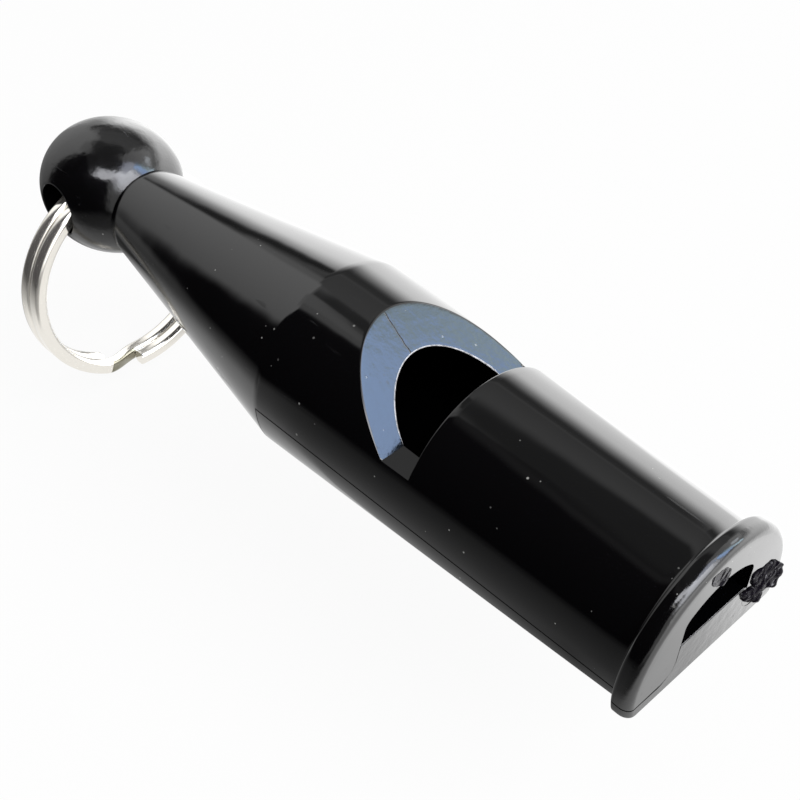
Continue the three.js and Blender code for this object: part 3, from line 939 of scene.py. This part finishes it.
def torn_plastic(name, gloss):
    """Black plastic where it was torn off: steep broken crumbs with a fine grain, pale at a few points,
    partly as crumbs and partly as painted glints.
    """
    material, tree, shader = principled(name)
    place = object_place(tree)
    grain = noise(tree, place, scale=3200, detail=4)
    crumb = node(tree, "ShaderNodeTexVoronoi", {"Vector": place, "Scale": 1000}).outputs["Distance"]
    height = combine(tree, "MULTIPLY_ADD", grain, TORN_GRAIN_WEIGHT, crumb)
    feed(tree, shader, {
        "IOR": PLASTIC_IOR,
        "Specular IOR Level": gloss,
        # Pale at a few points: pale crumbs and painted glints
        "Base Color": blend_colour(tree, remap(tree, grain, CRUMB_AND_GLINT_GRAIN, (0, 1)), TORN_BLACK, CRUMB_AND_GLINT_GREY),
        "Roughness": remap(tree, grain, MOST_NOISE, TORN),
        "Normal": relief(tree, height, TORN_DEPTH)})
    return material


def nickel(name):
    """Bright nickel plate: a warm metal of varying polish, with olive painted shade on the wire's side in the
    crossover.
    """
    material, tree, shader = principled(name)
    patches = noise(tree, object_place(tree), scale=260, detail=4)
    # Painted shade: olive laid in patches on the wire's side in the crossover
    shade_patches = remap(tree, patches, SHADE_GRAIN, SHADE_SHARE)
    painted_shade = combine(tree, "MULTIPLY", finish_share(tree, "worn"), shade_patches)
    feed(tree, shader, {
        "Metallic": 0.92,
        "Base Color": blend_colour(tree, painted_shade, NICKEL, CROSSOVER_SHADE_OLIVE),
        "Roughness": remap(tree, patches, MOST_NOISE, PLATED)})
    return material


body = whistle_body()
insert = fipple_insert()
scar = torn_lump("gate_scar", *GATE_SCAR)
tail = torn_lump("gate_tail", *GATE_TAIL)
burr = torn_lump("slot_burr", *SLOT_BURR)
ring = split_ring()
body.data.materials.append(black_plastic("moulded_black"))
insert.data.materials.append(black_plastic("insert_black"))
torn_black = torn_plastic("torn_black", gloss=0.004)
scar.data.materials.append(torn_black)
tail.data.materials.append(torn_black)
burr.data.materials.append(torn_plastic("burr_black", gloss=0.03))
ring.data.materials.append(nickel("bright_nickel"))
for piece, solid, slot, carrier in (
        (body, "whistle_body", "body_plastic", "whistle"),
        (insert, "fipple_insert", "insert_plastic", "whistle"),
        (ring, "split_ring", "ring_nickel", "ring")):
    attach(piece, carrier)
    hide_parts(solid)
for piece in (scar, tail, burr):
    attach(piece, "whistle")


# Studio panels by direction from the whistle: azimuth from +X towards +Y and elevation, in degrees; the
# width of their soft borders at the sides, below and above; and their glow at the lower and upper border,
# one level or a colour. Later ones lie on top; on the floor they are painted light and painted shadows.
STUDIO_PANELS = (
    # Painted shadow of the whistle on the floor at its near side
    ((229, 389), (-90, -8.2), (36, 1, 12), 0.6, 0.15),
    ((-23, 147), (-38.5, 22), (16, 36, 22), 0.14, 5.15),
    # Painted light: a brighter stretch of floor beyond the mouth
    ((28, 91), (-32, -10.5), (12, 6, 6), 1, 3.5),
    # Painted shadow of the ball and ring on the floor behind the tail
    ((155, 189), (-26.5, -14), (5, 4, 6), 0.1, 0.1),
    ((92, 155), (32, 42), (5, 8, 5), 0.23, 0.4),
    ((92, 160), (42, 64), (6, 4, 5), 0.51, 0.81),
    ((144, 163), (25, 31), (3, 4, 4), 0.16, 0.1),
    ((161, 229), (-21.5, 52), (4, 20, 6), 0.07, 1.77),
    ((0, 360), (64.8, 120), (1, 9, 1), 0.235, 0.15),
    ((159, 188), (58, 66), (5, 3, 3), 0.28, 0.28),
    ((180, 199), (46, 61.5), (4, 4, 3), 1.3, 1.2),
    ((208, 309), (-13, 68), (5, 10, 20), (0.012, 0.01, 0.012), (0.05, 0.045, 0.05)),
    ((270, 330), (55, 70), (8, 7, 6), (10, 10.1, 10.6), (7, 7.1, 7.6)),
    ((326, 390), (30, 69.5), (24, 14, 6), (7.2, 7.3, 7.7), (12.9, 13.2, 14.2)),
    ((350, 418), (61, 77), (14, 6, 6), (5.3, 5.6, 6.4), (4, 4.2, 5)),
    ((36, 52), (33, 60), (7, 4, 4), (4.0, 5.4, 8.4), (5.2, 7.5, 11.8)),
    ((51, 63), (25.5, 57), (1.5, 4, 4), (7.2, 9.2, 10.4), (2.15, 2.75, 3.15)),
    ((59, 103), (31.5, 80), (6, 4, 6), 2.3, 1.3),
    ((66, 84), (37, 46), (6, 4, 4), (5.4, 5.7, 6), (5.4, 5.7, 6)),
)
WHITE = (1, 1, 1, 1)

# Dome and floor in metres and degrees, their steps, and the height from which the floor's glow is seen
STUDIO_RADIUS = 0.9
DOME_FOOT = -1.2
DOME_ROUND, DOME_UP = 480, 183
FLOOR_LEVEL = -0.0175
FLOOR_CENTRE = (-0.022, -0.008)
FLOOR_ROUND, FLOOR_OUT = 180, 80
FLOOR_CROWDING = 2.2
FLOOR_NEAREST = 0.0001
SIGHT_HEIGHT = 0.024

# Share of shadow that the camera sees on the floor, and the world's strength for diffuse light
FLOOR_SHADOW = 0.08
DIFFUSE_LEVEL = 0.6


def soft_step(value, border, width):
    """A smooth rise from nothing to one across a border of that width."""
    return ease((value - border) / width + 0.5)


def studio_glow(azimuth, elevation):
    """Colour of the studio in each direction, in degrees: white, with each panel laid over it softly."""
    glow = np.ones((*azimuth.shape, 3))
    for (left, right), (low, high), (side, below, above), lower, upper in STUDIO_PANELS:
        away = np.abs((azimuth - (left + right) / 2 + 180) % 360 - 180)
        share = (1 - soft_step(away, (right - left) / 2, side)) * soft_step(elevation, low, below)
        share = (share * (1 - soft_step(elevation, high, above)))[..., None]
        climb = np.clip((elevation - low) / (high - low), 0, 1)[..., None]
        glow = glow * (1 - share) + share * (np.array(lower) * (1 - climb) + np.array(upper) * climb)
    return glow


def backdrop_piece(name, points, glow):
    """A grid of points as a backdrop, with its glow kept as a colour on each point."""
    mesh = bpy.data.meshes.new(name)
    quads = grid_quads(*points.shape[:2])
    mesh.from_pydata(points.reshape(-1, 3).tolist(), [], quads.reshape(-1, 4).tolist())
    stored = mesh.attributes.new("glow", "FLOAT_COLOR", "POINT")
    colours = np.concatenate([glow, np.ones((*glow.shape[:2], 1))], -1)
    stored.data.foreach_set("color", colours.astype(np.float32).ravel())
    piece = put(name, mesh)
    return piece


def stored_glow(tree):
    """The glow that a backdrop's points hold."""
    return node(tree, "ShaderNodeAttribute", attribute_name="glow").outputs["Color"]


def emission(tree, colour):
    """Light of that colour."""
    return node(tree, "ShaderNodeEmission", {"Color": colour}).outputs["Emission"]


def cover(piece, material, surface):
    """Gives a backdrop its material with that surface, which isn't sampled as a lamp."""
    feed(material.node_tree, material.node_tree.nodes["Material Output"], {"Surface": surface})
    material.cycles.emission_sampling = "NONE"
    piece.data.materials.append(material)


def studio_walls():
    """A dome of soft panels, which only reflections see: directions on a grid of azimuth and elevation."""
    azimuth = np.linspace(0, 360, DOME_ROUND + 1)
    azimuth, elevation = np.meshgrid(azimuth, np.linspace(DOME_FOOT, 90, DOME_UP + 1))
    turn, climb = np.radians(azimuth), np.radians(elevation)
    dome = at(np.cos(climb) * np.cos(turn), np.cos(climb) * np.sin(turn), np.sin(climb))
    walls = backdrop_piece("studio_walls", dome * STUDIO_RADIUS, studio_glow(azimuth, elevation))
    material, tree, shader = principled("panel_glow")
    tree.nodes.remove(shader)
    cover(walls, material, emission(tree, stored_glow(tree)))
    walls.visible_camera = False
    walls.visible_diffuse = False
    walls.visible_shadow = False


def seen_directly(tree):
    """One for rays from the camera, off gloss or through glass and nothing for the rest; and one for the
    camera's rays alone."""
    path = node(tree, "ShaderNodeLightPath").outputs
    mirrored = combine(tree, "MAXIMUM", path["Is Glossy Ray"], path["Is Transmission Ray"])
    return combine(tree, "MAXIMUM", path["Is Camera Ray"], mirrored), path["Is Camera Ray"]


def pale_floor():
    """A floor under the ring, plain white to the camera: rings of points out to the walls, closer near the
    whistle.
    Reflections see the panels' glow on it, with painted light and painted shadows of the whistle.
    """
    reach = STUDIO_RADIUS * np.linspace(0, 1, FLOOR_OUT + 1)[:, None] ** FLOOR_CROWDING
    turn = np.linspace(0, 2 * np.pi, FLOOR_ROUND + 1)
    middle_x, middle_y = FLOOR_CENTRE
    points = at(middle_x + reach * np.cos(turn), middle_y + reach * np.sin(turn), FLOOR_LEVEL)
    elevation = -np.degrees(np.arctan2(SIGHT_HEIGHT, np.maximum(reach, FLOOR_NEAREST)))
    # Painted light and painted shadows on the floor, seen only in reflections: the panels' glow by direction
    # from a point above it
    glow = studio_glow(*np.broadcast_arrays(np.degrees(turn), elevation))
    floor = backdrop_piece("floor", points, glow)
    material, tree, shader = principled("white_floor")
    feed(tree, shader, {"Base Color": (0.8, 0.8, 0.8, 1), "Roughness": 0.9, "Specular IOR Level": 0})
    seen, camera = seen_directly(tree)
    shown = emission(tree, blend_colour(tree, camera, stored_glow(tree), WHITE))
    share = combine(tree, "SUBTRACT", seen, combine(tree, "MULTIPLY", camera, FLOOR_SHADOW))
    layers = {0: share, 1: shader.outputs["BSDF"], 2: shown}
    cover(floor, material, node(tree, "ShaderNodeMixShader", layers).outputs["Shader"])


def studio_light():
    """A white world, weaker for diffuse light, and one wide soft lamp, turned to the whistle."""
    world = bpy.data.worlds.new("white_studio")
    bpy.context.scene.world = world
    world.use_nodes = True
    tree = world.node_tree
    seen, _ = seen_directly(tree)
    strength = remap(tree, seen, (0, 1), (DIFFUSE_LEVEL, 1))
    feed(tree, tree.nodes["Background"], {"Color": WHITE, "Strength": strength})
    lamp = bpy.data.lights.new("window_lamp", "AREA")
    lamp.shape = "RECTANGLE"
    lamp.size = 0.8
    lamp.size_y = 0.5
    lamp.energy = 6
    hung = put("window_lamp", lamp)
    hung.location = (0.55, 0.05, 0.6)
    hung.rotation_euler = (-hung.location).to_track_quat("-Z", "Y").to_euler()
    hung.visible_glossy = False


def photo_camera():
    """The camera at the photograph's place and angle."""
    camera = bpy.data.cameras.new("camera")
    camera.sensor_width = 36
    camera.lens = 58.5
    camera.clip_start = 0.005
    eye = put("camera", camera)
    eye.location = (0.045806, -0.054821, 0.073779)
    eye.rotation_euler = np.radians([48.7102, 0.1414, 46.1721])
    bpy.context.scene.camera = eye


bpy.context.scene.view_settings.view_transform = "Standard"
studio_walls()
pale_floor()
studio_light()
photo_camera()
